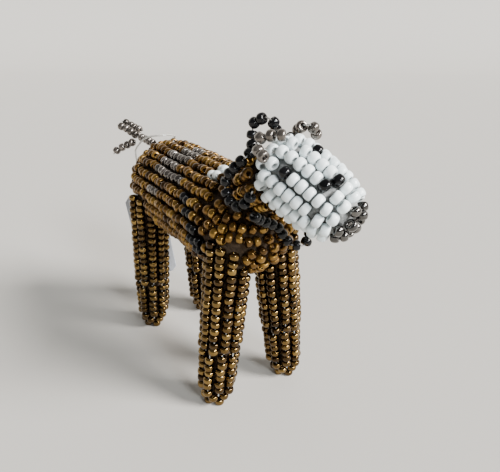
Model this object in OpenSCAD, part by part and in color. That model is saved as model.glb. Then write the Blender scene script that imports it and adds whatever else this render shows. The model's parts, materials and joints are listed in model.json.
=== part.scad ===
// Small four-legged animal made of glass seed beads, netted on clear thread over stuffed cores.
// Millimetres. The animal faces +X, its right side is -Y, its feet stand on z = 0.

/* [Beads] */
// Outside diameter of a seed bead
bead_d = 2.15; // [2.1:0.01:2.18]
// Length of a seed bead along its hole
bead_l = 1.46; // [1.3:0.02:1.5]
// Outside diameter of the larger white beads
white_bead_d = 2.3; // [2.24:0.01:2.32]
// Length of the larger white beads along their hole
white_bead_l = 1.62; // [1.5:0.02:1.66]
// Diameter of the hole through a seed bead
hole_d = 0.88; // [0.82:0.02:0.9]
// Bevel at both ends of a bead
bevel = 0.33; // [0.2:0.01:0.34]
// Diameter of the clear stringing thread
thread_d = 0.26; // [0.2:0.02:0.28]

/* [Body] */
// Outside radius of the beaded trunk
trunk_r = 10.96; // [10.96:0.02:11.2]
// Height of the trunk's axis above the ground at the rump
trunk_z = 38.1; // [37.5:0.1:38.5]
// Columns of beads round the middle of the trunk
trunk_columns = 26; // [24:2:26]

/* [Legs] */
// Front legs' distance ahead of the middle of the back
front_leg_x = 14; // [13.5:0.1:14.5]
// Rear legs' distance behind the middle of the back
rear_leg_x = 22; // [21.5:0.1:22.5]
// Half the spacing of the front feet
front_foot_y = 9.2; // [9:0.1:9.4]
// Half the spacing of the rear feet
rear_foot_y = 7.7; // [7.4:0.1:8]

/* [Head] */
// Length of the head from crown to nose
head_length = 21; // [20.6:0.1:21.4]
// Largest outside radius of the head
head_r = 6.78; // [6.76:0.01:6.84]
// Turn of the head to the animal's left, degrees
head_yaw = 26; // [24:1:28]
// Nod of the head below level, degrees
head_nod = 32; // [30:1:34]
// Tilt of the crown to the animal's right, degrees
head_tilt = 31; // [29:1:33]

/* [Hidden] */
$fn = 24;

BROWN = [0.42, 0.30, 0.14];
PEWTER = [0.42, 0.41, 0.38];
BLACK = [0.03, 0.03, 0.04];
WHITE = [0.93, 0.94, 0.95];
GUNMETAL = [0.35, 0.34, 0.34];
WADDING = [0.18, 0.13, 0.08];

// Size of a bead: diameter, length and how far it leans across a netted row, in degrees
SMALL = [bead_d, bead_l, 20];
LARGE = [white_bead_d, white_bead_l, 5];
ring_gap = 0.06;               // left between one ring of beads and the next
ring_pitch = bead_l + ring_gap;
column_gap = 0.03;             // least space between neighbouring columns
core_gap = 0.12;               // between a core and the beads round it

// ---------- vectors and frames ----------
function unit(v) = v / norm(v);
// A frame is [origin, x axis, y axis, z axis].
// A bead's place is [centre, hole direction, [distance along, angle], size].
function in_frame(fr, p) = fr[0] + fr[1] * p.x + fr[2] * p.y + fr[3] * p.z;
function turned(fr, d) = fr[1] * d.x + fr[2] * d.y + fr[3] * d.z;
function placed(fr, list) = [for (b = list) [in_frame(fr, b[0]), turned(fr, b[1]), b[2], b[3]]];
function frame_on(o, z, up) =
    let (zz = unit(z), yy = unit(cross(zz, up))) [o, cross(yy, zz), yy, zz];
module at_frame(fr)
    multmatrix([
        [fr[1].x, fr[2].x, fr[3].x, fr[0].x],
        [fr[1].y, fr[2].y, fr[3].y, fr[0].y],
        [fr[1].z, fr[2].z, fr[3].z, fr[0].z],
        [0, 0, 0, 1]]) children();

// ---------- one bead ----------
module bead(size)
    let (r = size[0] / 2, h = size[1] / 2)
    rotate_extrude() polygon([
        [hole_d / 2, -h], [r - bevel, -h], [r, bevel - h], [r, h - bevel], [r - bevel, h], [hole_d / 2, h]]);
module beads(list, colour)
    color(colour) for (b = list)
        translate(b[0]) rotate([0, acos(b[1].z), atan2(b[1].y, b[1].x)]) bead(b[3]);

// How far bead a reaches in direction n, and the clear space between two beads
function reach(a, n) =
    let (t = abs(a[1] * n), p = sqrt(max(0, 1 - t * t)), r = a[3][0] / 2, h = a[3][1] / 2)
    max((r - bevel) * p + h * t, r * p + (h - bevel) * t);
function space(a, b) =
    let (w = b[0] - a[0], between = unit(a[1] + b[1] * (a[1] * b[1] < 0 ? -1 : 1)))
    max([for (n = [a[1], b[1], between])
        let (t = w * n, out = w - n * t, e = t < 0 ? -n : n,
             u = norm(out) > 0.01 ? unit(out) : unit(cross(n, [0.6, 0, 0.8])))
        for (q = [0:15:90]) let (d = e * sin(q) + u * cos(q)) w * d - reach(a, d) - reach(b, d)]);
bead_reach = norm([white_bead_d / 2, white_bead_l / 2 - bevel]);   // farthest a bead reaches from its centre
function fits(b, others, gap = column_gap) =
    let (near = [for (o = others) if (norm(o[0] - b[0]) < 2 * bead_reach + gap) o])
    len([for (o = near) if (norm(o[0] - b[0]) < bead_l - 0.02) 1]) > 0 ? false
    : len([for (o = near) if (space(b, o) < gap) 1]) == 0;
// Keeps each bead of a list that clears those already kept and the fixed ones.
function strung(list, fixed, kept = [], i = 0) =
    i >= len(list) ? kept
    : let (b = list[i], ok = fits(b, kept) && fits(b, fixed))
      strung(list, fixed, ok ? concat(kept, [b]) : kept, i + 1);

// ---------- rings of beads on a surface of revolution ----------
function slope(f, z) = (f(z + 0.05) - f(z - 0.05)) / 0.1;
// The next ring lies where its beads just clear this one's, found by halving.
function next_z(f, z, size, lean, lo, hi, n = 0) =
    let (mid = (lo + hi) / 2)
    n > 14 ? hi
    : space(ring_bead(f, z, 0, size, lean), ring_bead(f, mid, 0, size, lean)) > ring_gap
        ? next_z(f, z, size, lean, lo, mid, n + 1) : next_z(f, z, size, lean, mid, hi, n + 1);
function half_step(f, z, size) = (size[1] + ring_gap) / cos(size[2]) / 2 / sqrt(1 + pow(slope(f, z), 2));
// How many beads a full ring holds, where their inner ends come closest together
function columns(f, z, size) =
    let (chord = size[0] + column_gap, s = abs(slope(f, z)),
         r = f(z) - (size[1] / 2 - bevel) * s / sqrt(1 + s * s))
    2 * r < chord * 1.16 ? 0 : floor(180 / asin(chord / (2 * r)));
function ring_bead(f, z, angle, size, lean = 0) =
    let (s = slope(f, z), r = f(z), along = unit([s * cos(angle), s * sin(angle), 1]),
         across = [-sin(angle), cos(angle), 0])
    [[r * cos(angle), r * sin(angle), z], along * cos(lean) + across * sin(lean), [z, angle], size];
// Rings from z0 to z1. A zone [za, zb, n] has n columns, every other one set half a bead on.
function ring_plan(f, z, end, zones, size) =
    z > end ? []
    : let (zone = [for (q = zones) if (z >= q[0] && z < q[1]) q], n = len(zone) > 0 ? zone[0][2] : 0,
           step = next_z(f, z, size, n > 0 ? size[2] : 0, z, z + 1.3 * size[1]),
           leaving = n > 0 && step >= zone[0][1])
      concat([[z, n]], ring_plan(f, leaving ? step + half_step(f, step, size) : step, end, zones, size));
function lattice(f, z0, z1, zones, size = SMALL) =
    [for (ring = ring_plan(f, z0, z1, zones, size))
        let (z = ring[0], netted = ring[1] > 0, count = netted ? ring[1] : columns(f, z, size))
        for (k = [0:1:count - 1])
            ring_bead(f, netted && k % 2 == 1 ? z + half_step(f, z, size) : z,
                (k + 0.5) * 360 / count, size, netted ? size[2] : 0)];
function pole(z, size = SMALL) = [[0, 0, z], unit([0.3, 1, 0]), [z, 0], size];
// Places where one more bead may go, tried last
function spots(f, places, da, size = SMALL) =
    [for (z = places, a = [0:da:359]) ring_bead(f, z, a, size)];
// The same places with the beads' holes lying round the surface
function crosswise(list) = [for (b = list) [b[0], [-sin(b[2].y), cos(b[2].y), 0], b[2], b[3]]];

// ---------- trunk ----------
function cap(t, n) = pow(max(0, 1 - pow(abs(t), n)), 1 / n);
rump_end = -31.5;
chest_end = 20.6;
rump_x = -20;                  // the rump rounds off behind this
chest_x = 5;                   // the chest rounds off ahead of this
bead_trunk_r = trunk_r - bead_d / 2;
waist = 0.1;
trunk_slope = -0.03;           // the trunk's axis falls a little towards the chest
function trunk_axis_z(x) = trunk_z + trunk_slope * (x - rump_x);
trunk_f = function (x)
    x < rump_x ? bead_trunk_r * cap((x - rump_x) / (rump_x - rump_end - bead_d / 2), 2.3)
    : x > chest_x ? bead_trunk_r * cap((x - chest_x) / (chest_end - chest_x - bead_d / 2), 2.8)
    : bead_trunk_r - waist * sin(180 * (x - rump_x) / (chest_x - rump_x));
trunk_frame = [[0, 0, trunk_axis_z(0)], unit([-trunk_slope, 0, 1]), [0, -1, 0], unit([1, 0, trunk_slope])];
function trunk_depth(p) =      // distance outside the trunk's layer of beads
    norm([p.y, p.z - trunk_axis_z(p.x)]) - (p.x < rump_end + 1.3 || p.x > chest_end - 1.3 ? 0 : trunk_f(p.x));

// A core: the surface from z0 to z1, moved in along its normals
module round_core(f, z0, z1, inset) {
    steps = 14;
    heights = [for (i = [1:steps - 1]) z0 + (z1 - z0) * (1 - cos(180 * i / steps)) / 2];
    side_points = [for (z = heights)
        let (s = slope(f, z), k = inset / sqrt(1 + s * s)) [max(0.01, f(z) - k), z + s * k]];
    rotate_extrude($fn = 48) polygon(concat([[0, z0 + inset]], side_points, [[0, z1 - inset]]));
}
module trunk_core(gap) at_frame(trunk_frame)
    round_core(trunk_f, rump_end + bead_d / 2, chest_end - bead_d / 2, bead_d / 2 + gap);
module head_core(gap) at_frame(head_frame)
    round_core(head_f, bead_d / 2, head_length - bead_d / 2, white_bead_d / 2 + gap);

// ---------- legs ----------
leg_low_end = 13.6;            // the lower leg's columns end here and more begin
leg_f = function (z) z < leg_low_end ? 2.9 + 0.035 * z : 3.6 + 0.015 * (z - leg_low_end);
leg_top = 37;
foot_z = bead_l / 2;
foot_pitch = ring_pitch;
// Each leg: foot centre, then the centre of the leg at hip height
hip_h = 27;
legs = [
    [[front_leg_x, -front_foot_y], [front_leg_x, -6.2]],
    [[front_leg_x, front_foot_y], [front_leg_x, 6.2]],
    [[-rear_leg_x, -rear_foot_y], [-rear_leg_x, -7]],
    [[-rear_leg_x, rear_foot_y], [-rear_leg_x, 7]]
];
function leg_lean(leg) = (leg[1] - leg[0]) / hip_h;
function leg_axis(leg, z) = leg[0] + leg_lean(leg) * z;
function leg_ring(leg, z, r, n, phase, upright) =
    [for (k = [0:n - 1])
        let (a = (k + phase) * 360 / n, c = leg_axis(leg, z))
        [[c.x + r * cos(a), c.y + r * sin(a), z],
         upright ? [0, 0, 1] : unit([leg_lean(leg).x, leg_lean(leg).y, 1]), [z, a], SMALL]];
function foot_rings(leg) = concat(
    leg_ring(leg, foot_z, 1.6, 4, 0, true), leg_ring(leg, foot_z + foot_pitch, 2.3, 6, 0.25, true));
low_rings = 6;
high_rings = 15;
low_columns = 8;
high_columns = 10;
low_z = foot_z + 2 * foot_pitch + 0.05;
high_z = low_z + (low_rings + 0.5) * ring_pitch + 0.05;
function netted_rings(leg, z, rings, n) =
    [for (i = [0:rings - 1], k = [0:n - 1])
        let (zz = z + (i + (k % 2) / 2) * ring_pitch, a = (k + 0.5) * 360 / n,
             c = leg_axis(leg, zz), r = leg_f(zz), lean = leg_lean(leg))
        [[c.x + r * cos(a), c.y + r * sin(a), zz], unit([lean.x, lean.y, 1]), [zz, a], SMALL]];
function leg_list(leg) =
    let (low = netted_rings(leg, low_z, low_rings, low_columns),
         high = netted_rings(leg, high_z, high_rings, high_columns))
    [for (b = concat(low, high)) if (trunk_depth(b[0]) > 0.35 && b[0].z < leg_top) b];
leg_lists = [for (leg = legs) leg_list(leg)];
all_leg_beads = [for (list = leg_lists) for (b = list) if (b[0].z > 20) b];
function inside_leg(p) =
    len([for (leg = legs) if (p.z < 36 && norm([p.x, p.y] - leg_axis(leg, p.z)) < leg_f(p.z) - 0.25) 1]) > 0;

// ---------- neck and head ----------
neck_start = [8, 0, 42];
neck_end = [21.5, -1.5, 49.5];
neck_frame = frame_on(neck_start, neck_end - neck_start, [0, 1, 0]);
neck_length = norm(neck_end - neck_start);
neck_f = function (z) 4.4;
neck_core_r = 3.2;
head_dir = [cos(head_nod) * cos(head_yaw), cos(head_nod) * sin(head_yaw), -sin(head_nod)];
head_top0 = [sin(head_nod) * cos(head_yaw), sin(head_nod) * sin(head_yaw), cos(head_nod)];
head_right0 = cross(head_dir, head_top0);
head_top = head_top0 * cos(head_tilt) + head_right0 * sin(head_tilt);
head_right = cross(head_dir, head_top);
head_middle = [29.22, 1.51, 48.56];
head_frame = [head_middle - head_dir * head_length / 2, head_top, head_right, head_dir];
head_wide = 8.5;               // the head is widest this far from the crown
bead_head_r = head_r - bead_d / 2;
head_f = function (u)
    u < head_wide ? bead_head_r * cap((head_wide - u) / (head_wide - bead_d / 2), 2.8)
    : bead_head_r * cap((u - head_wide) / (head_length - head_wide - bead_d / 2), 2.5);
function head_u(p) = (p - head_frame[0]) * head_dir;
function head_depth(p) =
    let (u = head_u(p), past_end = u < 1.2 || u > head_length - 1.2)
    norm(p - head_frame[0] - head_dir * u) - (past_end ? 0 : head_f(u));
neck_all = placed(neck_frame, lattice(neck_f, 0.8, neck_length, [[0, 40, 12]]));
neck_list = [for (b = neck_all)
    if (trunk_depth(b[0]) > 1.1 && head_depth(b[0]) > 2.1) b];
function inside_neck(p) =
    let (q = p - neck_start, t = q * neck_frame[3]) norm(q - neck_frame[3] * t) < 4.2 && t > 0;

// ---------- trunk beads, sorted by place and colour ----------
trunk_zones = [[rump_x - 4, chest_x + 5.4, trunk_columns]];
trunk_rings = placed(trunk_frame, concat(
    lattice(trunk_f, rump_end + 1.3, chest_end - bead_d / 2 - 0.05, trunk_zones),
    [pole(rump_end + bead_d / 2), pole(chest_end - bead_d / 2)]));
trunk_netted = strung(
    [for (b = trunk_rings) if (!inside_leg(b[0]) && !inside_neck(b[0])) b],
    concat(all_leg_beads, neck_list));
// Single beads close what gaps are left over the chest and between the legs.
chest_places = [for (q = [6:3:87]) chest_x + (chest_end - bead_d / 2 - chest_x) * pow(sin(q), 2 / 2.8)];
chest_spots = let (list = spots(trunk_f, chest_places, 4)) concat(list, crosswise(list));
leg_gap_spots = [for (x = [-27:0.5:-17]) for (b = spots(trunk_f, [x], 4)) if (b[2].y > 90 && b[2].y < 270) b];
trunk_fixed = concat(trunk_netted, all_leg_beads, neck_list);
chest_fill = strung(
    [for (b = placed(trunk_frame, chest_spots)) if (!inside_leg(b[0]) && !inside_neck(b[0])) b],
    [for (b = trunk_fixed) if (b[0].x > chest_x - 2) b]);
hip_fill = strung([for (b = placed(trunk_frame, leg_gap_spots)) if (!inside_leg(b[0])) b],
    [for (b = trunk_fixed) if (b[0].x < -14 && b[0].z < 42) b]);
trunk_list = concat(trunk_netted, chest_fill, hip_fill);
function blotch(p, centre, half) = pow((p.x - centre.x) / half.x, 2) + pow((p.y - centre.y) / half.y, 2) < 1;
function side(a) = a > 180 ? a - 360 : a;      // degrees down from the spine, positive on the right
function is_pewter(q) = blotch(q, [-10.5, 30], [4.6, 28]) || blotch(q, [-5, 47], [3.6, 9])
    || blotch(q, [-11.5, 77], [2.8, 9]) || blotch(q, [-9.5, 0], [3.2, 16]);
function stripe_x(a) = 3.2 + 5 * min(1, max(0, (a - 60) / 30));
function is_black(q) = abs(q.y) > 58 && abs(q.y) < 128 && abs(q.x - stripe_x(abs(q.y))) < 2.1;
function is_white(q) = q.x > 3.6 && q.x < 8 && q.y > -14 && q.y < 24;
function kind(b) =
    let (q = [b[0].x, side(b[2].y)])
    is_pewter(q) ? "pewter" : is_black(q) ? "black" : is_white(q) ? "white"
    : b[0].x < -18 ? "rump" : b[0].x < 2 ? "flank" : "shoulder";
function of_kind(name) = [for (b = trunk_list) if (kind(b) == name) b];

module body_stuffing() color(WADDING) trunk_core(core_gap);
module neck_stuffing() color(WADDING) difference() {
    at_frame(neck_frame) cylinder(h = neck_length, r = neck_core_r);
    trunk_core(core_gap - 0.06);
    head_core(-white_bead_d - core_gap);       // it stops just outside the head's beads
}
module head_stuffing() color(WADDING) head_core(core_gap);
module leg_stuffing(leg) color(WADDING) difference() {
    let (o = leg_axis(leg, 1.7), d = [leg_lean(leg).x, leg_lean(leg).y, 1])
    at_frame(frame_on([o.x, o.y, 1.7], d, [0, 1, 0])) {
        cylinder(h = 2, r1 = 0.6, r2 = 1.5);
        translate([0, 0, 1.9]) cylinder(h = high_z - 3.8, r = 1.7);
        translate([0, 0, high_z - 2]) cylinder(h = 22, r = 2.3);
    }
    trunk_core(core_gap - 0.06);
    translate([-50, -50, 36]) cube([100, 100, 30]);
}

// ---------- head beads ----------
head_columns = 14;
white_rings = lattice(head_f, 1.25, 17.4, [[5.6, 13.9, head_columns]], LARGE);
muzzle_u = max([for (b = white_rings) b[2].x]) + 1.42;    // smaller, darker beads cover the head beyond this
nose_rings = lattice(head_f, muzzle_u, head_length - 1.1, []);
head_poles = [pole(bead_d / 2, LARGE), pole(head_length - bead_d / 2)];
head_netted = strung(placed(head_frame, concat(white_rings, nose_rings, head_poles)), neck_list);
head_spots = let (
        back = spots(head_f, [1:0.3:6.4], 5, LARGE),
        front = spots(head_f, [12.6:0.3:muzzle_u - 0.9], 5, LARGE),
        nose = spots(head_f, [muzzle_u - 0.2:0.2:head_length - 0.9], 5))
    concat(back, front, nose, crosswise(back), crosswise(nose));
head_list = concat(head_netted, strung(placed(head_frame, head_spots), concat(head_netted, neck_list)));
// The white bead nearest to a place on the head: distance from the crown and angle down from the forehead
function nearest(u, a) =
    let (d = [for (b = head_list) norm([b[2].x - u, (side(b[2].y) - a) * bead_head_r * PI / 180])])
    search(min(d), d)[0];
right_eye = nearest(7, 38);
left_eye = nearest(7.4, -38);
bar = [nearest(12.6, 13), nearest(13.2, -13)];
function head_kind(i) =
    i == right_eye ? "right_eye" : i == left_eye ? "left_eye" : i == bar[0] || i == bar[1] ? "bar"
    : head_list[i][2].x > muzzle_u - 0.1 ? "muzzle" : "white";
function head_part(name) = [for (i = [0:len(head_list) - 1]) if (head_kind(i) == name) head_list[i]];

// ---------- strands: beads on a thread or wire along a curve ----------
function curve_point(p, i, t) =
    let (a = p[max(0, i - 1)], b = p[i], c = p[i + 1], d = p[min(len(p) - 1, i + 2)])
    0.5 * (2 * b + (c - a) * t + (2 * a - 5 * b + 4 * c - d) * t * t + (3 * b - a - 3 * c + d) * t * t * t);
function curve(p, n = 6) =
    let (end = len(p) - 2)
    [for (i = [0:end], k = [0:n - (i == end ? 0 : 1)]) curve_point(p, i, k / n)];
function runs(c) =
    [for (i = 0, s = 0; i < len(c); s = s + (i + 1 < len(c) ? norm(c[i + 1] - c[i]) : 0), i = i + 1) s];
function table(c, r, k) = [for (i = [0:len(c) - 1]) [r[i], c[i][k]]];
function route(p) =
    let (c = curve(p), r = runs(c))
    [table(c, r, 0), table(c, r, 1), table(c, r, 2), r[len(r) - 1]];
function at(rt, s) = [lookup(s, rt[0]), lookup(s, rt[1]), lookup(s, rt[2])];
function route_bead(rt, s) = [at(rt, s), unit(at(rt, s + 0.4) - at(rt, s - 0.4)), [s, 0], SMALL];
// Beads threaded from one end, each as close to the last as it fits
function threaded(rt, fixed, s = bead_l / 2, kept = []) =
    s > rt[3] - bead_l / 2 ? kept
    : let (b = route_bead(rt, s))
      fits(b, fixed, 0.08) && fits(b, kept) ? threaded(rt, fixed, s + bead_l, concat(kept, [b]))
      : threaded(rt, fixed, s + 0.04, kept);
// A tube of eight sides swept along points, its ends closed or joined to each other
tube_sides = 8;
function tube_ring(c, along, r) =
    let (a = unit(cross(along, [0.31, 0.52, 0.79])), b = cross(along, a), turn = 360 / tube_sides)
    [for (k = [0:tube_sides - 1]) c + (a * cos(k * turn) + b * sin(k * turn)) * r];
module tube(c, d, closed) {
    n = len(c);
    function before(i) = closed ? c[(i + n - 1) % n] : c[max(0, i - 1)];
    function after(i) = closed ? c[(i + 1) % n] : c[min(n - 1, i + 1)];
    rings = [for (i = [0:n - 1]) each tube_ring(c[i], unit(after(i) - before(i)), d / 2)];
    walls = [for (i = [0:closed ? n - 1 : n - 2], k = [0:tube_sides - 1])
        let (j = (i + 1) % n * tube_sides, m = i * tube_sides, next = (k + 1) % tube_sides)
        [m + k, j + k, j + next, m + next]];
    ends = [[for (k = [0:tube_sides - 1]) k],
        [for (k = [tube_sides - 1:-1:0]) (n - 1) * tube_sides + k]];
    polyhedron(rings, closed ? walls : concat(walls, ends), convexity = 6);
}
// The wire through a strand is straight inside each bead and bends only between beads.
wire_stub = 0.6;               // bare wire beyond a strand's end beads
function through(b, way, far) = b[0] + b[1] * way * far;
function bend(a, b) =
    let (h = bead_l / 2, open = norm(through(b, -1, h) - through(a, 1, h))) h - 0.07 + min(0.24, 0.4 * open);
module wire(list) color("silver") {
    last = len(list) - 1;
    bends = [for (i = [0:last - 1])
        let (a = list[i], b = list[i + 1], far = bend(a, b)) each [through(a, 1, far), through(b, -1, far)]];
    end = bead_l / 2 + wire_stub;
    tube(concat([through(list[0], -1, end)], bends, [through(list[last], 1, end)]), wire_d, false);
}

// ---------- horns, ears and tail ----------
wire_d = 0.28;
right_horn_route = route([
    [21, 0, 57], [22.2, -1, 58.4], [21.8, -2, 59.4], [20.5, -2.8, 59.4], [18.5, -3.5, 58], [19, -3.5, 57],
    [19.5, -4, 55.5], [20.5, -4.5, 54.5], [21, -6, 53.5], [20.5, -7, 52.5], [19, -7.5, 51], [18, -8, 49.5],
    [17.5, -8, 47.5], [18.5, -8, 46], [20, -8, 45], [22, -7.5, 45.5], [23.5, -7, 47], [24, -7, 48.5]]);
left_horn_route = route([
    [20.5, 3, 56], [20, 5, 54.5], [18, 7, 50.5], [18, 8, 47.5], [19, 8, 45], [20.5, 8, 42],
    [22.5, 7, 39.5], [24, 6, 38], [24.5, 4.5, 36.5], [24, 3, 36.5], [23, 2, 37], [22.5, 1, 38.5],
    [22.5, 0, 40], [22.5, -1.5, 41], [22.5, -3.5, 42], [23, -5, 43], [23.5, -6.5, 44]]);
right_ear_route = route([
    [28.5, -3.5, 58], [27, -5, 57.8], [25.3, -5.8, 57.5], [25, -6.7, 56], [27, -7, 55], [29, -7, 54.5]]);
left_ear_route = route([
    [21.5, 4, 57], [23.5, 3.5, 58], [24.5, 3.5, 58.5], [25.5, 4.5, 58], [25, 5.5, 57], [24, 6.5, 55.5]]);
tail_root = [-27, -1.5, 47];
tail_fork = [-35.5, -3.5, 48];
tail_stem_route = route([tail_root, [-29, -2, 47], [-32, -2.5, 47.5], tail_fork]);
upper_tuft_routes = [
    route([[-35.5, -3.5, 48], [-37, -4, 48.5], [-39, -5, 49.5], [-40.5, -6, 50], [-42, -6.5, 50]]),
    route([[-37.5, -1.5, 49], [-39.5, -2.5, 49.5], [-41.5, -3, 50], [-43, -4, 50.5], [-44, -5, 50.5]])];
lower_tuft_route = route([
    [-35, -4, 47], [-36.5, -5, 46], [-38, -6.5, 45], [-39, -8, 44], [-40, -9, 42]]);
skin = concat(trunk_list, neck_list, head_list);
right_horn_list = threaded(right_horn_route, skin);
left_horn_list = threaded(left_horn_route, concat(skin, right_horn_list));
right_ear_list = threaded(right_ear_route, concat(skin, right_horn_list));
left_ear_list = threaded(left_ear_route, concat(skin, left_horn_list, right_horn_list));
tail_stem_list = threaded(tail_stem_route, skin);
upper_tuft_lists = let (a = threaded(upper_tuft_routes[0], tail_stem_list))
    [a, threaded(upper_tuft_routes[1], concat(tail_stem_list, a))];
upper_tuft_beads = [for (list = upper_tuft_lists) each list];
lower_tuft_list = threaded(lower_tuft_route, concat(tail_stem_list, upper_tuft_beads));

// ---------- threads in the legs and trunk ----------
module rod(a, b)
    at_frame(frame_on(a, b - a, [0.3, 0.9, 0.1])) cylinder(h = norm(b - a), d = thread_d, $fn = 16);
function leg_point(leg, z, angle) =
    let (c = leg_axis(leg, z), r = leg_f(z)) [c.x + r * cos(angle), c.y + r * sin(angle), z];
module thread_ring(leg, z0, z1, n)
    for (k = [0:n - 1]) rod(leg_point(leg, z0, (k + 0.5) * 360 / n), leg_point(leg, z1, (k + 0.5) * 360 / n));
module leg_threads(leg) color("gainsboro") {
    thread_ring(leg, low_z - 0.7, high_z - 0.9, low_columns);
    thread_ring(leg, high_z - 0.6, hip_h - 2, high_columns);
}
trunk_thread_x = [-16, 4];
trunk_thread_side = 118;       // degrees down each side from the spine
module body_threads() color("gainsboro") at_frame(trunk_frame)
    for (k = [0:trunk_columns - 1])
        let (a = (k + 0.5) * 360 / trunk_columns, r = bead_trunk_r - waist * 0.55)
        if (abs(side(a)) < trunk_thread_side)
            translate([r * cos(a), r * sin(a), trunk_thread_x[0]])
                cylinder(h = trunk_thread_x[1] - trunk_thread_x[0], d = thread_d, $fn = 16);

// ---------- shop tag hung round the tail ----------
tag_w = 10;
tag_l = 26;
tag_t = 0.4;
tag_hole_d = 2.2;
tag_hole = [-34, -3.6, 30.6];
tag_tilt = 9;
loop_d = 0.45;
module hang_tag() color("white")
    translate(tag_hole) rotate([tag_tilt, 0, 0]) difference() {
        translate([-tag_t / 2, -tag_w / 2, 2.4 - tag_l]) cube([tag_t, tag_w, tag_l]);
        rotate([0, 90, 0]) cylinder(h = 4, d = tag_hole_d, center = true);
    }
tag_loop_points = [
    [-34, -3.6, 30], [-34.6, -3.6, 30.4], [-35, -3.6, 31.6], [-35, -3.8, 34], [-34, -4.5, 38],
    [-33, -5, 42], [-32, -5.5, 45], [-30, -5, 47], [-28, -5, 48.2], [-26, -4.3, 49.2],
    [-23.6, -2.8, 49.8], [-22.6, -0.6, 49.9], [-23.2, 1.3, 49.5], [-25.5, 2.7, 48.6], [-28, 2.6, 47.5],
    [-30.6, 1.6, 45.4], [-32.4, 0, 42], [-33, -2, 38], [-33, -3.4, 34], [-33, -3.6, 31.6],
    [-33.4, -3.6, 30.4]];
module tag_loop() color("whitesmoke") {
    c = curve(concat(tag_loop_points, [tag_loop_points[0]]), 2);
    tube([for (i = [0:len(c) - 2]) c[i]], loop_d, true);
}

// The whole animal is shifted so that the origin is under the middle of its box.
box_middle = [-2.54, 0];
module stand() translate([-box_middle.x, -box_middle.y, 0]) children();
stand() body_stuffing();
stand() neck_stuffing();
stand() head_stuffing();
stand() leg_stuffing(legs[0]);  // front_right_leg_stuffing
stand() leg_stuffing(legs[1]);  // front_left_leg_stuffing
stand() leg_stuffing(legs[2]);  // rear_right_leg_stuffing
stand() leg_stuffing(legs[3]);  // rear_left_leg_stuffing
stand() beads(of_kind("rump"), BROWN);  // rump_beads
stand() beads(of_kind("flank"), BROWN);  // flank_beads
stand() beads(of_kind("shoulder"), BROWN);  // shoulder_beads
stand() beads(of_kind("pewter"), PEWTER);  // pewter_rump_beads
stand() beads(of_kind("black"), BLACK);  // black_stripe_beads
stand() beads(of_kind("white"), WHITE);  // white_withers_beads
stand() beads(neck_list, BROWN);  // neck_beads
stand() beads(leg_lists[0], BROWN);  // front_right_leg_beads
stand() beads(leg_lists[1], BROWN);  // front_left_leg_beads
stand() beads(leg_lists[2], BROWN);  // rear_right_leg_beads
stand() beads(leg_lists[3], BROWN);  // rear_left_leg_beads
stand() beads(foot_rings(legs[0]), BROWN);  // front_right_foot_beads
stand() beads(foot_rings(legs[1]), BROWN);  // front_left_foot_beads
stand() beads(foot_rings(legs[2]), BROWN);  // rear_right_foot_beads
stand() beads(foot_rings(legs[3]), BROWN);  // rear_left_foot_beads
stand() leg_threads(legs[0]);  // front_right_leg_threads
stand() leg_threads(legs[1]);  // front_left_leg_threads
stand() leg_threads(legs[2]);  // rear_right_leg_threads
stand() leg_threads(legs[3]);  // rear_left_leg_threads
stand() body_threads();
stand() beads(head_part("white"), WHITE);  // white_head_beads
stand() beads(head_part("muzzle"), GUNMETAL);  // muzzle_beads
stand() beads(head_part("right_eye"), BLACK);  // right_eye_bead
stand() beads(head_part("left_eye"), BLACK);  // left_eye_bead
stand() beads(head_part("bar"), BLACK);  // face_bar_beads
stand() beads(right_horn_list, BLACK);  // right_horn_beads
stand() wire(right_horn_list);  // right_horn_wire
stand() beads(left_horn_list, BLACK);  // left_horn_beads
stand() wire(left_horn_list);  // left_horn_wire
stand() beads(right_ear_list, PEWTER);  // right_ear_beads
stand() wire(right_ear_list);  // right_ear_wire
stand() beads(left_ear_list, PEWTER);  // left_ear_beads
stand() wire(left_ear_list);  // left_ear_wire
stand() beads(tail_stem_list, PEWTER);  // tail_stem_beads
stand() wire(tail_stem_list);  // tail_stem_wire
stand() beads(upper_tuft_beads, PEWTER);  // tail_upper_tuft_beads
stand() for (list = upper_tuft_lists) wire(list);  // tail_upper_tuft_wires
stand() beads(lower_tuft_list, PEWTER);  // tail_lower_tuft_beads
stand() wire(lower_tuft_list);  // tail_lower_tuft_wire
stand() hang_tag();
stand() tag_loop();
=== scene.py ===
import json
import math

import bmesh
import bpy
import numpy as np
from mathutils import Matrix, Vector
from mathutils.noise import hetero_terrain

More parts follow.
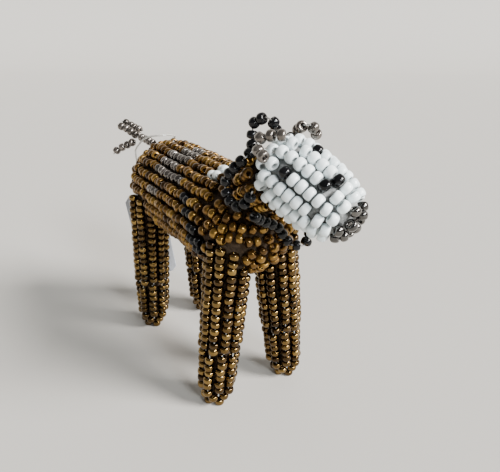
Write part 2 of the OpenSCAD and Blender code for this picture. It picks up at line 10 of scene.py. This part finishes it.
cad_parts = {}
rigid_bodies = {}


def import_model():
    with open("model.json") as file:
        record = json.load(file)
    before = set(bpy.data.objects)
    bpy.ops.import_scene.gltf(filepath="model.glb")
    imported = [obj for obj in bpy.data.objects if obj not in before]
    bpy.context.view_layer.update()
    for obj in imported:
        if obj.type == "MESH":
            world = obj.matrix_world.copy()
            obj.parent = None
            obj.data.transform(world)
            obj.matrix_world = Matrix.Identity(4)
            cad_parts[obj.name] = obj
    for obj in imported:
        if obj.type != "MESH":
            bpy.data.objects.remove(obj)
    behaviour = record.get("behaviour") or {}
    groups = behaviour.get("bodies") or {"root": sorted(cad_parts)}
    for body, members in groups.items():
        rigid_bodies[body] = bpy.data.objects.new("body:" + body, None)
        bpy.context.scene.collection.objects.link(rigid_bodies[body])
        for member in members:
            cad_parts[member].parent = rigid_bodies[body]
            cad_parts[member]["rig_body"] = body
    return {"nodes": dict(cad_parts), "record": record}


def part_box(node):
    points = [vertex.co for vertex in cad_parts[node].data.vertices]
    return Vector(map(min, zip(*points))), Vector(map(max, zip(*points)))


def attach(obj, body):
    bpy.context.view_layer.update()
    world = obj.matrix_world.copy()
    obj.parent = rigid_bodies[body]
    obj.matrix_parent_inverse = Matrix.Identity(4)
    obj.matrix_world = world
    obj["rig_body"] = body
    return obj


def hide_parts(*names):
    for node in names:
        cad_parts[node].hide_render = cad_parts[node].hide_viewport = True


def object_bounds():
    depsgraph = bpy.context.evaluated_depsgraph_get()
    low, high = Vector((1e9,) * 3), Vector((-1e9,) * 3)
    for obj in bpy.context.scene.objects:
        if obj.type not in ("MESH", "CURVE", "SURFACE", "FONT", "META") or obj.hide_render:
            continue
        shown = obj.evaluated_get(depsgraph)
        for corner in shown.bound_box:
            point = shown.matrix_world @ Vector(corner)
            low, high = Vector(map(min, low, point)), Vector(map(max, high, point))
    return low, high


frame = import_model()
cad_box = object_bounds()
MM = 0.001
NODES = frame["nodes"]
SLOT_OF = {part["node"]: part["material_slot"] for part in frame["record"]["subparts"]}


# ---------- camera ----------
CAMERA_AT = Vector((92.77, -50.77, 71.98)) * MM
CAMERA_AZIMUTH = math.radians(56.63)
CAMERA_PITCH = math.radians(21.65)
CAMERA_ROLL = math.radians(0.35)
CAMERA_LENS, CAMERA_SENSOR = 36, 36
CAMERA_NEAR, CAMERA_FAR = 0.005, 20


def make_camera():
    data = bpy.data.cameras.new("camera")
    data.lens = CAMERA_LENS
    data.sensor_width = CAMERA_SENSOR
    data.clip_start = CAMERA_NEAR
    data.clip_end = CAMERA_FAR
    a, e, r = CAMERA_AZIMUTH, CAMERA_PITCH, CAMERA_ROLL
    right = Vector((math.cos(a), math.sin(a), 0))
    up = Vector((-math.sin(e) * math.sin(a), math.sin(e) * math.cos(a), math.cos(e)))
    back = right.cross(up)
    x = right * math.cos(r) + up * math.sin(r)
    y = up * math.cos(r) - right * math.sin(r)
    turn = Matrix((x, y, back)).transposed().to_4x4()
    camera = bpy.data.objects.new("camera", data)
    camera.matrix_world = Matrix.Translation(CAMERA_AT) @ turn
    bpy.context.scene.collection.objects.link(camera)
    bpy.context.scene.camera = camera


make_camera()


# ---------- materials ----------
CLOUD_SCALE, CLOUD_SPREAD = 900, 0.15        # slow change of colour across a bead
SPECK_SCALE, SPECK_SPREAD = 4200, 0.05       # fine change of its gloss
RIPPLE_SCALE, RIPPLE_DEPTH = 1500, 0.00008   # shallow unevenness of its surface
# painted shade: the near-black that a bead darkens to in and near its hole, where shade falls
HOLE_SHADE_COLOUR = (0.012, 0.009, 0.006, 1)


def new_material(name):
    material = bpy.data.materials.new(name)
    material.use_nodes = True
    tree = material.node_tree
    tree.nodes.clear()
    out = tree.nodes.new("ShaderNodeOutputMaterial")
    shader = tree.nodes.new("ShaderNodeBsdfPrincipled")
    tree.links.new(shader.outputs["BSDF"], out.inputs["Surface"])
    return material, tree, shader


def add(tree, kind, inputs, **settings):
    """A node with its settings; an input is a value, or the socket that feeds it."""
    node = tree.nodes.new(kind)
    for key, value in settings.items():
        setattr(node, key, value)
    for key, value in inputs.items():
        socket = node.inputs[key]
        if isinstance(value, bpy.types.NodeSocket):
            tree.links.new(value, socket)
        else:
            socket.default_value = value
    return node


def ramp(tree, factor, stops):
    node = add(tree, "ShaderNodeValToRGB", {"Fac": factor})
    points = node.color_ramp.elements
    while len(points) < len(stops):
        points.new(0.5)
    for point, (place, colour) in zip(points, stops):
        point.position = place
        point.color = (*colour, 1)
    return node.outputs["Color"]


def noise(tree, scale, detail, rough=0.55):
    where = add(tree, "ShaderNodeTexCoord", {}).outputs["Object"]
    inputs = {"Vector": where, "Scale": scale, "Detail": detail, "Roughness": rough}
    return add(tree, "ShaderNodeTexNoise", inputs).outputs["Fac"]


def span(tree, value, low, high):
    inputs = {"Value": value, "To Min": low, "To Max": high}
    return add(tree, "ShaderNodeMapRange", inputs).outputs["Result"]


def total(tree, a, b):
    return add(tree, "ShaderNodeMath", {0: a, 1: b}, operation="ADD", use_clamp=True).outputs[0]


def raise_surface(tree, shader, height, strength, distance):
    bump = add(tree, "ShaderNodeBump", {"Height": height, "Strength": strength, "Distance": distance})
    tree.links.new(bump.outputs["Normal"], shader.inputs["Normal"])


def bead_material(name, shades, metallic, rough, coat=0.0, coat_rough=0.1, bump=0.12, ior=1.5, hole_shade=0.25):
    """Glass whose colour and gloss differ from bead to bead, with fine marks, and painted shade darkening it
    near its hole.

    The mesh's bead attribute holds the bead's shade, its gloss and how near a point is to the hole.
    """
    material, tree, shader = new_material(name)
    tint = add(tree, "ShaderNodeAttribute", {}, attribute_name="bead")
    split = add(tree, "ShaderNodeSeparateColor", {"Color": tint.outputs["Color"]})
    pick, gloss, hole = split.outputs["Red"], split.outputs["Green"], split.outputs["Blue"]
    cloud = noise(tree, CLOUD_SCALE, 2)
    base = ramp(tree, total(tree, pick, span(tree, cloud, -CLOUD_SPREAD, CLOUD_SPREAD)), shades)
    # painted shade: the colour darkens towards and inside the hole
    dark = add(tree, "ShaderNodeMath", {0: hole, 1: hole_shade}, operation="MULTIPLY").outputs[0]
    hole_shaded = add(tree, "ShaderNodeMix", {0: dark, 6: base, 7: HOLE_SHADE_COLOUR}, data_type="RGBA")
    tree.links.new(hole_shaded.outputs[2], shader.inputs["Base Color"])
    speck = noise(tree, SPECK_SCALE, 3, 0.6)
    uneven = total(tree, span(tree, gloss, *rough), span(tree, speck, -SPECK_SPREAD, SPECK_SPREAD))
    tree.links.new(uneven, shader.inputs["Roughness"])
    raise_surface(tree, shader, noise(tree, RIPPLE_SCALE, 2, 0.5), bump, RIPPLE_DEPTH)
    shader.inputs["Metallic"].default_value = metallic
    shader.inputs["IOR"].default_value = ior
    shader.inputs["Coat Weight"].default_value = coat
    shader.inputs["Coat Roughness"].default_value = coat_rough
    return material


# Each finish: its shades from dark to light, and its roughness from the glossiest to the dullest bead
BEAD_FINISHES = {
    "bronze_bead": dict(
        shades=[(0, (0.034, 0.017, 0.004)), (0.45, (0.105, 0.060, 0.015)), (1, (0.27, 0.17, 0.048))],
        metallic=1.0, rough=(0.08, 0.19), coat=0.25, coat_rough=0.03),
    # The trunk's bronze is the same bead as bronze_bead; its lighter shades stand in for the light falling on
    # the trunk: painted light.
    "bronze_matte_bead": dict(
        shades=[(0, (0.042, 0.018, 0.003)), (0.5, (0.165, 0.084, 0.016)), (1, (0.37, 0.215, 0.045))],
        metallic=0.85, rough=(0.17, 0.34), coat=0.15, coat_rough=0.05),
    "pewter_bead": dict(
        shades=[(0, (0.055, 0.047, 0.040)), (0.5, (0.145, 0.128, 0.114)), (1, (0.28, 0.25, 0.23))],
        metallic=0.85, rough=(0.12, 0.28), coat=0.4, coat_rough=0.06),
    "gunmetal_bead": dict(
        shades=[(0, (0.030, 0.028, 0.026)), (1, (0.155, 0.147, 0.138))],
        metallic=1.0, rough=(0.05, 0.11), coat=0.8, coat_rough=0.03),
    "jet_bead": dict(
        shades=[(0, (0.0012, 0.0012, 0.0015)), (1, (0.005, 0.005, 0.006))],
        metallic=0.0, rough=(0.03, 0.09), bump=0.05, ior=1.36),
    # white beads carry more painted shade near their holes
    "white_bead": dict(
        shades=[(0, (0.69, 0.76, 0.78)), (0.5, (0.80, 0.88, 0.90)), (1, (0.87, 0.94, 0.96))],
        metallic=0.0, rough=(0.22, 0.38), coat=0.15, coat_rough=0.2, hole_shade=0.55),
}


def mottled_material(name, grain, dark, light, rough, bump=None, **constants):
    """One noise pattern that drives the colour, and the roughness or the relief.

    grain is the pattern's scale, detail and roughness, and bump the relief's strength and height.
    """
    material, tree, shader = new_material(name)
    pattern = noise(tree, *grain)
    tree.links.new(ramp(tree, pattern, [dark, light]), shader.inputs["Base Color"])
    if isinstance(rough, tuple):
        tree.links.new(span(tree, pattern, *rough), shader.inputs["Roughness"])
    else:
        shader.inputs["Roughness"].default_value = rough
    if bump:
        raise_surface(tree, shader, pattern, *bump)
    for key, value in constants.items():
        shader.inputs[key.replace("_", " ")].default_value = value
    return material


WADDING = dict(grain=(2600, 5, 0.7), rough=0.95, bump=(0.8, 0.0003))
LOOKS = {name: bead_material(name, **finish) for name, finish in BEAD_FINISHES.items()}
LOOKS.update(
    # The cores are dark brown under the bronze and grey under the white head, so the gaps between beads read
    # as shaded: partly the core's own colour, partly painted shade.
    wadding=mottled_material(
        "wadding", dark=(0.2, (0.016, 0.009, 0.004)), light=(0.8, (0.070, 0.040, 0.018)), **WADDING),
    pale_wadding=mottled_material(
        "pale_wadding", dark=(0.2, (0.12, 0.125, 0.125)), light=(0.8, (0.34, 0.35, 0.35)), **WADDING),
    thread=mottled_material(
        "thread", (5000, 2), (0.3, (0.55, 0.54, 0.50)), (0.7, (0.80, 0.79, 0.76)), (0.15, 0.3),
        Transmission_Weight=0.5, IOR=1.53),
    wire=mottled_material(
        "wire", (3500, 3), (0.3, (0.35, 0.34, 0.33)), (0.7, (0.62, 0.61, 0.60)), (0.25, 0.45), Metallic=1),
    card=mottled_material(
        "card", (1800, 6, 0.7), (0.3, (0.66, 0.71, 0.80)), (0.7, (0.78, 0.83, 0.91)), 0.72,
        bump=(0.25, 0.00005)))


def dress(obj, slot):
    obj.data.materials.clear()
    obj.data.materials.append(LOOKS[slot])


def put(name, mesh, node):
    """Makes the mesh a piece that stands for a node, in the node's finish and on its body."""
    piece = bpy.data.objects.new(name, mesh)
    bpy.context.scene.collection.objects.link(piece)
    dress(piece, SLOT_OF[node])
    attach(piece, NODES[node]["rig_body"])
    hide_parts(node)
    return piece


# ---------- beads: where they are ----------
WELD = 2e-6                    # corner points closer than this are one
SLIVER = 1e-4                  # triangles smaller than this share of the largest are passed over
SAME_WAY = 0.9998              # cosine between normals that count as parallel
RIM = 0.98                     # share of the reach beyond which a point is on the rim
CENTRE_STEPS = 3


def node_triangles(node):
    """The node's corner points, merged where they coincide, and its triangles."""
    mesh = NODES[node].data
    mesh.calc_loop_triangles()
    points = np.zeros(len(mesh.vertices) * 3)
    mesh.vertices.foreach_get("co", points)
    corners = np.zeros(len(mesh.loop_triangles) * 3, np.int64)
    mesh.loop_triangles.foreach_get("vertices", corners)
    points = points.reshape(-1, 3)
    keys = np.round(points / WELD).astype(np.int64)
    _, first, same = np.unique(keys, axis=0, return_index=True, return_inverse=True)
    return points[first], same.reshape(-1)[corners].reshape(-1, 3)


def separate(points, triangles):
    """Each solid's triangles, found by spreading the lowest corner number over what touches."""
    label = np.arange(len(points))
    while True:
        low = label[triangles].min(axis=1)
        spread = label.copy()
        for k in range(3):
            np.minimum.at(spread, triangles[:, k], low)
        if (spread == label).all():
            break
        label = spread
    owner = label[triangles[:, 0]]
    order = np.argsort(owner, kind="stable")
    cuts = np.flatnonzero(np.diff(owner[order])) + 1
    return [triangles[part] for part in np.split(order, cuts)]


def bead_places(node):
    """Centre, hole direction, outside radius and half length of every bead of a node."""
    points, triangles = node_triangles(node)
    places = []
    for faces in separate(points, triangles):
        corners = points[faces]
        cross = np.cross(corners[:, 1] - corners[:, 0], corners[:, 2] - corners[:, 0])
        area = np.linalg.norm(cross, axis=1)
        keep = area > area.max() * SLIVER
        normal = cross[keep] / area[keep][:, None]
        same_way = np.abs(normal @ normal.T) > SAME_WAY
        axis = normal[np.argmax(same_way @ area[keep])]
        mine = points[np.unique(faces)]
        along = mine @ axis
        middle = (along.max() + along.min()) / 2
        flat = mine - np.outer(along, axis)
        centre = (flat.max(axis=0) + flat.min(axis=0)) / 2
        for _ in range(CENTRE_STEPS):
            out = flat - centre
            reach = np.linalg.norm(out, axis=1)
            rim = out[reach > reach.max() * RIM]
            centre = centre + (rim.max(axis=0) + rim.min(axis=0)) / 2
        radius = np.linalg.norm(flat - centre, axis=1).max()
        places.append((centre + axis * middle, axis, radius, (along.max() - along.min()) / 2))
    places.sort(key=lambda place: tuple(np.round(place[0], 5)))
    return places


# ---------- beads: their shape ----------
RING_SIDES = 18
HOLE_SHARE = 0.39              # radius of the hole over the bead's
# Half of a bead's outline, from inside its hole out to its widest: shares of the wall and of the half length
OUTLINE = [(0, 0), (0, 0.70), (0.06, 0.89), (0.18, 0.98), (0.34, 1), (0.52, 0.96), (0.68, 0.87),
           (0.82, 0.72), (0.92, 0.53), (0.98, 0.28), (1, 0)]
TILT_LIMIT, SHIFT_LIMIT = 2, 1.5           # in spreads
SIZES, LENGTHS, OVALS = (0.94, 1.0), (0.84, 0.98), (0.975, 1.0)
SLANT_SPREAD, SLANT_GAIN = 0.035, 1.2      # how far the two ends are from square to the hole
SQUARE_FROM, SQUARE_GAIN = 0.5, 0.22       # the outer part of the outline fills out on squarer beads
END_LIMIT = 0.995
HOLE_SHADE_REACH = 0.3                           # share of the wall that the painted shade from the hole reaches
SHADE_SPREAD = 0.22


def bead_points(rng, place, play):
    """One bead's surface points, and how near each is to the hole. play is how loosely the bead sits."""
    centre, axis, radius, half = place
    side = np.array(Vector(axis).orthogonal().normalized())
    other = np.cross(axis, side)
    tilt = rng.normal(0, play[0], 2).clip(-TILT_LIMIT * play[0], TILT_LIMIT * play[0])
    shift = rng.normal(0, play[1], 3).clip(-SHIFT_LIMIT * play[1], SHIFT_LIMIT * play[1])
    centre = centre + shift
    axis = axis + side * tilt[0] + other * tilt[1]
    axis /= np.linalg.norm(axis)
    side = np.array(Vector(axis).orthogonal().normalized())
    other = np.cross(axis, side)
    size = rng.uniform(*SIZES)
    length = rng.uniform(*LENGTHS)
    oval = rng.uniform(*OVALS)
    slant = rng.normal(0, SLANT_SPREAD, 2)
    squareness = rng.uniform(0.0, 1.0)
    turn = rng.uniform(0, 2 * math.pi)
    share, along = np.array(OUTLINE + [(r, -z) for r, z in OUTLINE[-2:0:-1]]).T
    outer = (share > SQUARE_FROM) & (share < 1)
    share = np.where(outer, share + (1 - share) * SQUARE_GAIN * squareness, share)
    r = radius * size * (HOLE_SHARE + (1 - HOLE_SHARE) * share)
    z = half * length * along
    angle = np.arange(RING_SIDES) * 2 * math.pi / RING_SIDES + turn
    x = np.outer(r, np.cos(angle))
    y = np.outer(r, np.sin(angle)) * oval
    end = z[:, None] * (1 + SLANT_GAIN * (slant[0] * x + slant[1] * y) / radius)
    end = np.clip(end, -half * END_LIMIT, half * END_LIMIT)
    points = centre + x[..., None] * side + y[..., None] * other + end[..., None] * axis
    # painted shade: how strongly each outline point is darkened for its nearness to the hole
    near_hole = np.clip(1 - share / HOLE_SHADE_REACH, 0, 1)
    shade = np.repeat(near_hole, RING_SIDES)
    return points.reshape(-1, 3), shade


def bead_faces():
    rows = 2 * len(OUTLINE) - 2
    faces = []
    for i in range(rows):
        for k in range(RING_SIDES):
            j, n = (i + 1) % rows, (k + 1) % RING_SIDES
            faces.append((i * RING_SIDES + k, i * RING_SIDES + n, j * RING_SIDES + n, j * RING_SIDES + k))
    return np.array(faces)


BEAD_FACES = bead_faces()


def mesh_from(name, points, faces):
    mesh = bpy.data.meshes.new(name)
    mesh.vertices.add(len(points))
    mesh.vertices.foreach_set("co", np.ascontiguousarray(points, np.float32).reshape(-1))
    sides = faces.shape[1]
    mesh.loops.add(faces.size)
    mesh.loops.foreach_set("vertex_index", faces.reshape(-1).astype(np.int32))
    mesh.polygons.add(len(faces))
    mesh.polygons.foreach_set("loop_start", (np.arange(len(faces)) * sides).astype(np.int32))
    mesh.polygons.foreach_set("use_smooth", np.ones(len(faces), bool))
    mesh.update(calc_edges=True)
    mesh.validate()
    return mesh


TRUNK_NODES = ("rump_beads", "flank_beads", "shoulder_beads", "pewter_rump_beads", "black_stripe_beads",
               "white_withers_beads", "neck_beads")
# How loosely a bead sits: spread of its tilt in radians, and of its shift
LOOSE = (0.15, 0.14 * MM)
SLACK = (0.10, 0.08 * MM)
FIRM = (0.055, 0.0)
FIRST_SEED = 100


def make_beads(node, seed):
    rng = np.random.default_rng(seed)
    play = LOOSE if node in TRUNK_NODES else SLACK if node.endswith("leg_beads") else FIRM
    low, high = np.array(cad_box[0]), np.array(cad_box[1])
    points, faces, colours = [], [], []
    for place in PLACES[node]:
        mine, hole = bead_points(rng, place, play)
        pick = np.clip(rng.normal(0.5, SHADE_SPREAD), 0, 1)
        gloss = rng.uniform(0, 1)
        faces.append(BEAD_FACES + sum(len(p) for p in points))
        points.append(np.clip(mine, low, high))
        flat = np.ones(len(mine))
        colours.append(np.stack([pick * flat, gloss * flat, hole, flat], axis=1))
    mesh = mesh_from(node + "_look", np.concatenate(points), np.concatenate(faces))
    layer = mesh.color_attributes.new("bead", "FLOAT_COLOR", "POINT")
    layer.data.foreach_set("color", np.concatenate(colours).astype(np.float32).reshape(-1))
    put(node + "_look", mesh, node)


bead_nodes = sorted(n for n in NODES if n.endswith(("beads", "bead")))
PLACES = {node: bead_places(node) for node in bead_nodes}
for seed, node in enumerate(bead_nodes):
    make_beads(node, FIRST_SEED + seed)


# ---------- stuffing ----------
ALL_PLACES = [place for node in bead_nodes for place in PLACES[node]]
PLACE_AT = np.array([place[0] for place in ALL_PLACES])
PLACE_AXIS = np.array([place[1] for place in ALL_PLACES])
PLACE_SIZE = np.array([place[2:] for place in ALL_PLACES])
NEAR_BEADS = 10
BATCH = 1500                   # points looked at together, to keep the tables small
BEAD_EDGE = 0.33 * MM          # rounding of a bead's edge, for the distance to it
SWELL = 0.75 * MM              # furthest that the stuffing may swell
SWELL_STEPS = 7
SMOOTH_STEPS = 2
CLEAR = 0.02 * MM              # kept between stuffing and bead
LOOK_AHEAD = 0.03 * MM
SINK = 0.05 * MM               # the whole surface sinks by this at the end
LUMP_SCALE = 900
LUMP_MIDDLE, LUMP_SPREAD, LUMP_RANGE = 0.75, 0.2, (0.3, 1.1)      # shares of the swelling
KEEP_SHARE = 0.4               # of a point's own swelling when smoothed; its neighbours give the rest
STEP_ROOM = 0.04 * MM          # how far a point may stand proud of that mean
VOXEL, BODY_VOXEL = 0.34 * MM, 0.42 * MM
SEED_STEP = 10


def nearest_beads(points):
    """For each point, which beads' centres lie nearest to it."""
    near = np.zeros((len(points), NEAR_BEADS), np.int64)
    for start in range(0, len(points), BATCH):
        part = points[start:start + BATCH]
        square = (part ** 2).sum(axis=1)[:, None] - 2 * part @ PLACE_AT.T + (PLACE_AT ** 2).sum(axis=1)
        near[start:start + BATCH] = np.argpartition(square, NEAR_BEADS, axis=1)[:, :NEAR_BEADS]
    return near


def space_to_beads(points, near):
    """Distance from each point to the nearest bead, each bead taken as a rounded cylinder."""
    away = points[:, None, :] - PLACE_AT[near]
    along = np.abs((away * PLACE_AXIS[near]).sum(axis=2))
    across = np.sqrt(np.maximum((away ** 2).sum(axis=2) - along ** 2, 0))
    u = across - (PLACE_SIZE[near][..., 0] - BEAD_EDGE)
    v = along - (PLACE_SIZE[near][..., 1] - BEAD_EDGE)
    inside = np.minimum(np.maximum(u, v), 0)
    outside = np.hypot(np.maximum(u, 0), np.maximum(v, 0))
    return (inside + outside - BEAD_EDGE).min(axis=1)


def vertex_vectors(mesh, what):
    values = np.zeros(len(mesh.vertices) * 3)
    mesh.vertices.foreach_get(what, values)
    return values.reshape(-1, 3)


def make_stuffing(node, voxel, seed):
    """The core as wadding that swells into the gaps between the beads round it."""
    rough = bpy.data.objects.new(node + "_rough", NODES[node].data.copy())
    bpy.context.scene.collection.objects.link(rough)
    remesh = rough.modifiers.new("remesh", "REMESH")
    remesh.mode = "VOXEL"
    remesh.voxel_size = voxel
    graph = bpy.context.evaluated_depsgraph_get()
    mesh = bpy.data.meshes.new_from_object(rough.evaluated_get(graph))
    bpy.data.objects.remove(rough)
    mesh.name = node + "_soft"
    points = vertex_vectors(mesh, "co")
    normals = vertex_vectors(mesh, "normal")
    count = len(points)
    pairs = np.zeros(len(mesh.edges) * 2, np.int64)
    mesh.edges.foreach_get("vertices", pairs)
    pairs = pairs.reshape(-1, 2)
    degree = np.bincount(pairs.reshape(-1), minlength=count)
    start = Vector((seed, 0, 0))
    lumps = np.array([hetero_terrain(Vector(p) * LUMP_SCALE + start, 1.0, 2.0, 2, 0.6) for p in points])
    lumps = (lumps - lumps.mean()) / max(lumps.std(), 1e-9)
    reach = SWELL * np.clip(LUMP_MIDDLE + LUMP_SPREAD * lumps, *LUMP_RANGE)
    near = nearest_beads(points + normals * reach[:, None] / 2)
    moved = np.zeros(count)
    for _ in range(SWELL_STEPS):
        ahead = moved + reach / SWELL_STEPS
        free = space_to_beads(points + normals * (ahead[:, None] + LOOK_AHEAD), near) > CLEAR
        moved = np.where(free, ahead, moved)
    for _ in range(SMOOTH_STEPS):
        beside = np.zeros(count)
        np.add.at(beside, pairs[:, 0], moved[pairs[:, 1]])
        np.add.at(beside, pairs[:, 1], moved[pairs[:, 0]])
        mean = KEEP_SHARE * moved + (1 - KEEP_SHARE) * beside / np.maximum(degree, 1)
        moved = np.minimum(moved, mean + STEP_ROOM)
    points = points + normals * (moved - SINK)[:, None]
    mesh.vertices.foreach_set("co", points.astype(np.float32).reshape(-1))
    mesh.polygons.foreach_set("use_smooth", np.ones(len(mesh.polygons), bool))
    mesh.update()
    piece = put(node + "_soft", mesh, node)


for seed, node in enumerate(sorted(n for n in NODES if n.endswith("stuffing"))):
    make_stuffing(node, BODY_VOXEL if node == "body_stuffing" else VOXEL, SEED_STEP * seed)


# ---------- tag ----------
TAG_TILT = math.radians(9)
TAG_WIDTH, TAG_LENGTH = 10 * MM, 26 * MM
TAG_HOLE_UP = 10.6 * MM         # from the card's middle up to its hole
TAG_HOLE_R = 1.1 * MM
TAG_THICK = 0.3 * MM
TAG_CORNER = 1.3 * MM           # length of the clipped corners' sides
TAG_CURL = 0.8 * MM
TAG_CURL_MIDDLE = 0.35          # share of the curl that the middle lies behind
TAG_WAVE, TAG_WAVE_TURN = 0.25, 5      # a wave along the card: share of the curl, and radians over its length
TAG_FLAT_TOP = 2 * MM           # the card stays flat from this far below its hole up, where the loop runs
TAG_EASE = 9 * MM               # and takes up its curl over this length
TAG_COLUMNS, TAG_ROWS = 40, 104
TAG_RIM = 0.25                  # grid points within this share of the hole's radius move onto its rim
TAG_WELD = 0.01 * MM
TAG_ON_RIM = 1.001              # a cell with all corners within this share of the hole's radius is left out


def tag_bow(u, v):
    """How far the card curls out of its plane, u across and v up from its middle."""
    bow = TAG_CURL * ((2 * u / TAG_WIDTH) ** 2 - TAG_CURL_MIDDLE)
    bow += TAG_WAVE * TAG_CURL * math.sin(TAG_WAVE_TURN * v / TAG_LENGTH)
    ease = min(max((TAG_HOLE_UP - TAG_FLAT_TOP - v) / TAG_EASE, 0), 1)
    return bow * ease * ease * (3 - 2 * ease)


def make_tag(node):
    """A card with clipped corners, a round hole and a slight curl."""
    low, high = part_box(node)
    middle = (Vector(low) + Vector(high)) / 2
    across = Vector((0, math.cos(TAG_TILT), math.sin(TAG_TILT)))
    upward = Vector((0, -math.sin(TAG_TILT), math.cos(TAG_TILT)))
    work = bmesh.new()
    grid = {}
    for i in range(TAG_COLUMNS + 1):
        for k in range(TAG_ROWS + 1):
            u = (i / TAG_COLUMNS - 0.5) * TAG_WIDTH
            v = (k / TAG_ROWS - 0.5) * TAG_LENGTH
            spare = abs(u) + abs(v) - (TAG_WIDTH + TAG_LENGTH) / 2 + TAG_CORNER
            if spare > 0:
                u -= math.copysign(spare / 2, u)
                v -= math.copysign(spare / 2, v)
            from_hole = Vector((u, v - TAG_HOLE_UP))
            if TAG_HOLE_R * (1 - TAG_RIM) < from_hole.length < TAG_HOLE_R * (1 + TAG_RIM):
                u, v = from_hole.normalized() * TAG_HOLE_R + Vector((0, TAG_HOLE_UP))
            at = middle + across * u + upward * v + Vector((tag_bow(u, v), 0, 0))
            grid[i, k] = (u, v, work.verts.new(at))
    for i in range(TAG_COLUMNS):
        for k in range(TAG_ROWS):
            corners = [grid[i, k], grid[i + 1, k], grid[i + 1, k + 1], grid[i, k + 1]]
            inside = [math.hypot(u, v - TAG_HOLE_UP) < TAG_HOLE_R * TAG_ON_RIM for u, v, _ in corners]
            if not all(inside):
                work.faces.new([vert for _, _, vert in corners])
    bmesh.ops.delete(work, geom=[v for v in work.verts if not v.link_faces], context="VERTS")
    bmesh.ops.remove_doubles(work, verts=work.verts, dist=TAG_WELD)
    bmesh.ops.dissolve_degenerate(work, edges=work.edges, dist=TAG_WELD)
    mesh = bpy.data.meshes.new(node + "_card")
    work.to_mesh(mesh)
    work.free()
    mesh.polygons.foreach_set("use_smooth", [True] * len(mesh.polygons))
    piece = put(node + "_card", mesh, node)
    thick = piece.modifiers.new("thickness", "SOLIDIFY")
    thick.thickness = TAG_THICK
    thick.offset = 0


make_tag("hang_tag")


# ---------- the other pieces ----------
for node, obj in NODES.items():
    if node not in bead_nodes and node != "hang_tag" and not node.endswith("stuffing"):
        dress(obj, SLOT_OF[node])
        for polygon in obj.data.polygons:
            polygon.use_smooth = True


# ---------- floor and light ----------
FLOOR_COLOUR, FLOOR_ROUGH = (0.45, 0.435, 0.41, 1), 0.7
# How far the floor runs towards the camera, away from it, and then curving up
FLOOR_FRONT, FLOOR_FLAT, FLOOR_BEND = 4.0, 1.0, 0.6
WALL_TOP, WALL_HALF_WIDTH = 3.0, 5.0
BEND_STEPS = 24
WORLD_COLOUR, WORLD_STRENGTH = (0.71, 0.71, 0.68, 1), 0.34


def make_floor():
    """A pale sheet on the ground that curves up into a wall behind the figure, as the camera sees it."""
    away = Vector((-math.sin(CAMERA_AZIMUTH), math.cos(CAMERA_AZIMUTH), 0))
    side = Vector((math.cos(CAMERA_AZIMUTH), math.sin(CAMERA_AZIMUTH), 0))
    outline = [(-FLOOR_FRONT, 0), (0, 0)]
    for k in range(BEND_STEPS + 1):
        turn = math.pi / 2 * k / BEND_STEPS
        outline.append((FLOOR_FLAT + FLOOR_BEND * math.sin(turn), FLOOR_BEND * (1 - math.cos(turn))))
    outline.append((FLOOR_FLAT + FLOOR_BEND, WALL_TOP))
    edge = side * WALL_HALF_WIDTH
    points = [away * x + edge * way + Vector((0, 0, z)) for x, z in outline for way in (-1, 1)]
    faces = [(2 * k, 2 * k + 2, 2 * k + 3, 2 * k + 1) for k in range(len(outline) - 1)]
    mesh = bpy.data.meshes.new("floor")
    mesh.from_pydata(points, [], faces)
    mesh.polygons.foreach_set("use_smooth", [True] * len(faces))
    floor = bpy.data.objects.new("floor", mesh)
    bpy.context.scene.collection.objects.link(floor)
    material, tree, shader = new_material("floor")
    shader.inputs["Base Color"].default_value = FLOOR_COLOUR
    shader.inputs["Roughness"].default_value = FLOOR_ROUGH
    mesh.materials.append(material)


def make_sun(name, toward, strength, angle, colour):
    """A distant lamp in the given direction, its disc as many degrees across as the angle."""
    data = bpy.data.lights.new(name, "SUN")
    data.energy = strength
    data.angle = math.radians(angle)
    data.color = colour
    light = bpy.data.objects.new(name, data)
    light.rotation_euler = (-Vector(toward)).to_track_quat("-Z", "Y").to_euler()
    bpy.context.scene.collection.objects.link(light)


make_floor()
make_sun("key", toward=(0.34, 0.25, 0.30), strength=10.0, angle=24, colour=(1, 0.97, 0.93))
make_sun("window", toward=(0.45, 0.0, 0.22), strength=3.2, angle=14, colour=(0.94, 0.98, 1))
world = bpy.data.worlds.new("world")
world.use_nodes = True
world.node_tree.nodes["Background"].inputs["Color"].default_value = WORLD_COLOUR
world.node_tree.nodes["Background"].inputs["Strength"].default_value = WORLD_STRENGTH
bpy.context.scene.world = world
bpy.context.scene.view_settings.view_transform = "AgX"
